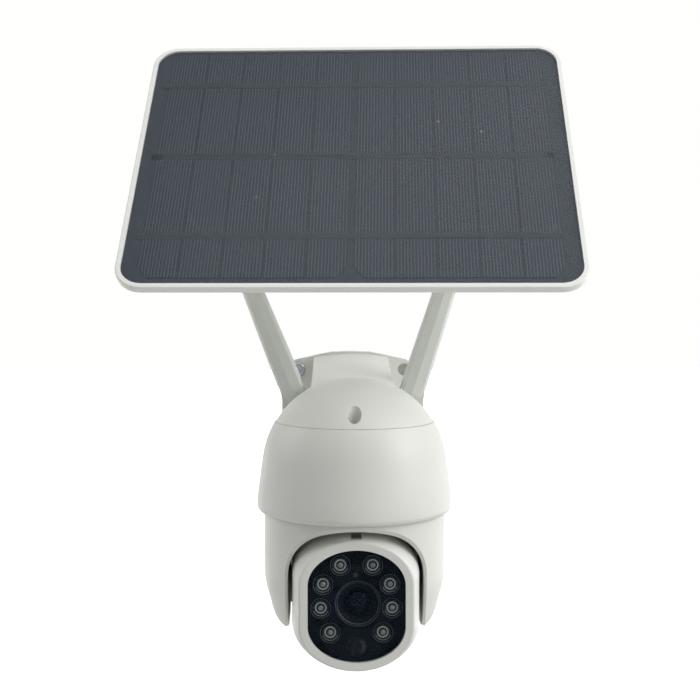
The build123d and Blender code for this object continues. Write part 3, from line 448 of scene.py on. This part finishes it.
def pir_look():
    look = Look("fresnel_film", (0.014, 0.016, 0.022), 0.30, Specular_IOR_Level=0.15)
    split = look.new("ShaderNodeSeparateXYZ")
    look.link(look.coords, split.inputs[0])
    across = look.math("POWER", split.outputs[0], 2.0)
    down = look.math("POWER", look.math("SUBTRACT", split.outputs[2], PIR_Z), 2.0)
    radius = look.math("SQRT", look.math("ADD", across, down))
    look.tint(look.remap(radius, 0.0032, 0.0040, 0, 1), (0.040, 0.044, 0.054))
    # painted highlight: a lighter crescent on the right of the lens, standing in for the key light's glint
    painted_crescent_glint = look.math("MULTIPLY", look.remap(radius, 0.0026, 0.0034, 0, 1),
                     look.remap(split.outputs[0], 0.0010, 0.0032, 0, 1))
    look.tint(painted_crescent_glint, (0.105, 0.112, 0.125))
    cells = look.new("ShaderNodeTexVoronoi", feature="DISTANCE_TO_EDGE")
    cells.inputs["Scale"].default_value = 480
    cells.inputs["Randomness"].default_value = 0.15
    look.link(look.coords, cells.inputs["Vector"])
    look.bump(cells.outputs["Distance"], 0.08)
    return look.done


def make_looks():
    """One material per slot of the record, and two more for the head's own plastic and sensor."""
    return {
        "shell_white": moulded("shell_plastic", (0.735, 0.745, 0.700)).done,
        "head_white": head_look(),
        "antenna_grey": moulded("antenna_plastic", (0.68, 0.70, 0.655), 0.5, 0.3).done,
        "panel_white": moulded("panel_plastic", (0.87, 0.88, 0.85), 0.40, 0.3).done,
        "trim_white": moulded("trim_plastic", (0.62, 0.63, 0.60), 0.45).done,
        "support_steel": powder_coat_look(),
        "dark_plastic": dark_look(),
        "knob_plastic": knob_look(),
        "soft_rubber": rubber_look(),
        "button_grey": moulded("button_plastic", (0.12, 0.12, 0.12), 0.5, 0.4).done,
        "plated_steel": metal("zinc_plate", (0.62, 0.62, 0.61), 0.32).done,
        "dark_screw": metal("screw_steel", (0.55, 0.58, 0.64), 0.16).done,
        "motor_steel": metal("motor_can", (0.55, 0.55, 0.56), 0.38, (1, 1, 12)).done,
        "gear_nylon": moulded("gear_nylon", (0.74, 0.71, 0.60), 0.45, 0.1).done,
        "cell_wrap": battery_wrap_look(),
        "board_green": circuit_look(),
        "window_black": window_look(),
        "silicon": cell_look(),
        "ribbon_dark": ribbon_look(),
        "film_clear": film_look(),
        "cell_board_black": board_look(),
        "lamp_clear": lamp_look(),
        "optic_glass": optic_look(),
        "pir_milky": pir_look(),
        "sensor_clear": sensor_look(),
    }


OWN_LOOKS = {"head_front_shell": "head_white", "head_rear_shell": "head_white",
             "light_sensor": "sensor_clear"}


def paint_nodes():
    looks = make_looks()
    slots = {s["node"]: s["material_slot"] for s in frame["record"]["subparts"]}
    for name, obj in NODES.items():
        look = looks[OWN_LOOKS.get(name, slots[name])]
        if not obj.material_slots:
            obj.data.materials.append(look)
        for slot in obj.material_slots:
            slot.material = look


# ---------------------------------------------------------------- mesh helpers
def piece(name, bm, look, body, sharp=35):
    mesh = bpy.data.meshes.new(name)
    bm.to_mesh(mesh)
    bm.free()
    obj = bpy.data.objects.new(name, mesh)
    bpy.context.scene.collection.objects.link(obj)
    mesh.materials.append(look)
    mesh.shade_smooth()
    mesh.set_sharp_from_angle(angle=radians(sharp))
    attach(obj, body)
    return obj


def lathe(bm, profile, place, closed=False, steps=64):
    """Turns (radius, along) points in mm about a local Z axis given by the matrix place."""
    rings = []
    for k in range(steps):
        a = 2 * pi * k / steps
        rings.append([bm.verts.new(place @ Vector((r * cos(a), r * sin(a), h)))
                      for r, h in profile])
    count = len(profile)
    for k in range(steps):
        one, two = rings[k], rings[(k + 1) % steps]
        for i in range(count if closed else count - 1):
            j = (i + 1) % count
            bm.faces.new((one[i], two[i], two[j], one[j]))


def sweep(bm, profile, place, start, end, steps=24):
    """Turns a closed (radius, along) outline through part of a circle, in degrees, and caps it."""
    rings = []
    for k in range(steps + 1):
        a = radians(start + (end - start) * k / steps)
        rings.append([bm.verts.new(place @ Vector((r * cos(a), r * sin(a), h))) for r, h in profile])
    count = len(profile)
    for one, two in zip(rings, rings[1:]):
        for i in range(count):
            j = (i + 1) % count
            bm.faces.new((one[i], two[i], two[j], one[j]))
    bm.faces.new(rings[0])
    bm.faces.new(list(reversed(rings[-1])))


def ring_profile(r, tube, along=0.0, points=12, squash=1.0):
    return [(r + tube * cos(2 * pi * i / points), along + squash * tube * sin(2 * pi * i / points))
            for i in range(points)]


def facing_front(x, y, z):
    """Local frame in mm at a row position in mm, its Z axis towards the front (-Y)."""
    turn = Matrix(((1, 0, 0), (0, 0, -1), (0, 1, 0))).to_4x4()
    return Matrix.Scale(MM, 4) @ Matrix.Translation((x, y, z)) @ turn


def head_place(x, y, z):
    return facing_front(TILT_AT[0] + x, TILT_AT[1] + y, TILT_AT[2] + z)


# ---------------------------------------------------------------- detail pieces
def lamp_details():
    bright = Look("reflector_coat", (0.72, 0.74, 0.73), 0.30, Specular_IOR_Level=0.9)
    bright.mottle(800, 0.15)
    bright.grain(0.3, 0.01)
    shade = Look("cup_coat", (0.030, 0.033, 0.038), 0.35)
    shade.mottle(700, 0.2)
    shade.grain(0.3, 0.01)
    # painted glint: a light-grey colour for the lower arcs inside the collars, standing in for light caught
    # there
    glint_look = Look("painted_glint_coat", (0.42, 0.43, 0.43), 0.35)
    glint_look.mottle(700, 0.2)
    glint_look.grain(0.3, 0.01)
    edge = Look("collar_edge", (0.19, 0.21, 0.21), 0.40)
    edge.mottle(600, 0.2)
    edge.grain(0.3, 0.01)
    rings, cups, glint_arcs, rims = bmesh.new(), bmesh.new(), bmesh.new(), bmesh.new()
    for x, z in LED_PLACES:
        place = head_place(x, LAMP_FRONT, z)
        lathe(rings, ring_profile(2.56, 0.36, 0.2, 12, 1.1), place, True)
        lathe(cups, [(2.98, 0.0), (3.0, 0.5), (3.5, 0.62)], place)
        # lower arcs only, 200 to 340 degrees: a painted glint of light on the lower inside of each collar
        sweep(glint_arcs, ring_profile(3.88, 0.17, 1.1, 8), place, 200, 340)
        lathe(rims, ring_profile(4.93, 0.13, 1.42, 10), place, True)
    piece("lamp_rings", rings, bright.done, "camera_head")
    piece("lamp_cups", cups, shade.done, "camera_head")
    piece("lamp_painted_glints", glint_arcs, glint_look.done, "camera_head")
    piece("lamp_rims", rims, edge.done, "camera_head")


def lens_details():
    ring = Look("lens_ring_paint", (0.070, 0.082, 0.098), 0.34)
    ring.mottle(500, 0.2)
    ring.grain(0.2, 0.008)
    look = Look("baffle_paint", (0.006, 0.009, 0.014), 0.5, Specular_IOR_Level=0.2)
    look.mottle(500, 0.2)
    look.grain(0.2, 0.008)
    place = head_place(*LENS_AT)
    front = bmesh.new()
    lathe(front, [(10.1, -0.75), (10.25, -0.45), (11.0, 0.12), (11.35, 0.2), (11.6, 0.05), (11.6, -0.3),
                  (10.6, -0.8)], place, True, 96)
    piece("lens_ring", front, ring.done, "camera_head", 25)
    steps = []
    for i in range(7):
        r = 10.0 - i * 0.52
        steps += [(r, -0.9 - i * 0.62), (r - 0.16, -0.98 - i * 0.62)]
    baffle = bmesh.new()
    lathe(baffle, steps, place, False, 96)
    piece("lens_baffle", baffle, look.done, "camera_head", 25)


make_camera()
make_world()
make_lamps()
make_stage()
paint_nodes()
lamp_details()
lens_details()
